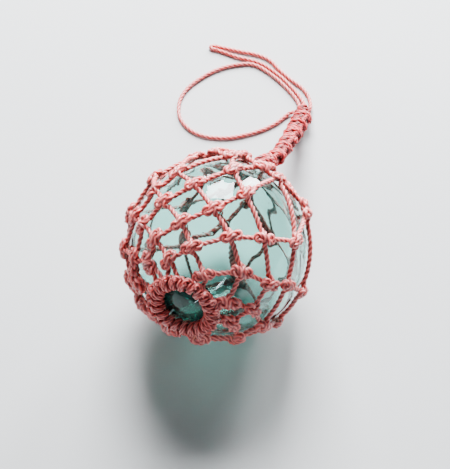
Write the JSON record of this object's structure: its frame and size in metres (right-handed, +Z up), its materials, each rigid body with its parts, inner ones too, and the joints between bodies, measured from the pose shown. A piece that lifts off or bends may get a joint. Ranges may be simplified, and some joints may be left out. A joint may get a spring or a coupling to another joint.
{
  "type": "glass float ball",
  "caption": "Clear glass float ball in a knotted diamond net of twine, with a hitched base ring, a plaited handle and a free loop of twine.",
  "frame": {"origin": "on the floor, at the flat of the left one of the three net knots that the float rests on", "axes": "+Z up, +Y away from the viewer towards the plaited handle's free end, +X to the right"},
  "size_m": [0.2026, 0.443, 0.1924],
  "materials": {
    "sea_glass": "clear blown glass with a pale aqua tint",
    "net_twine": "laid twine, salmon red, slight sheen",
    "sennit_twine": "plaited twine, salmon red, slight sheen",
    "loop_twine": "laid twine, salmon red, slight sheen"
  },
  "bodies": {
    "root": {"glass_float": "sea_glass", "base_ring": "net_twine", "twine_net": "net_twine", "handle_sennit": "sennit_twine", "loop_outer": "loop_twine", "loop_inner": "loop_twine", "loop_oval": "loop_twine", "loop_nub": "loop_twine"}
  },
  "joints": []
}
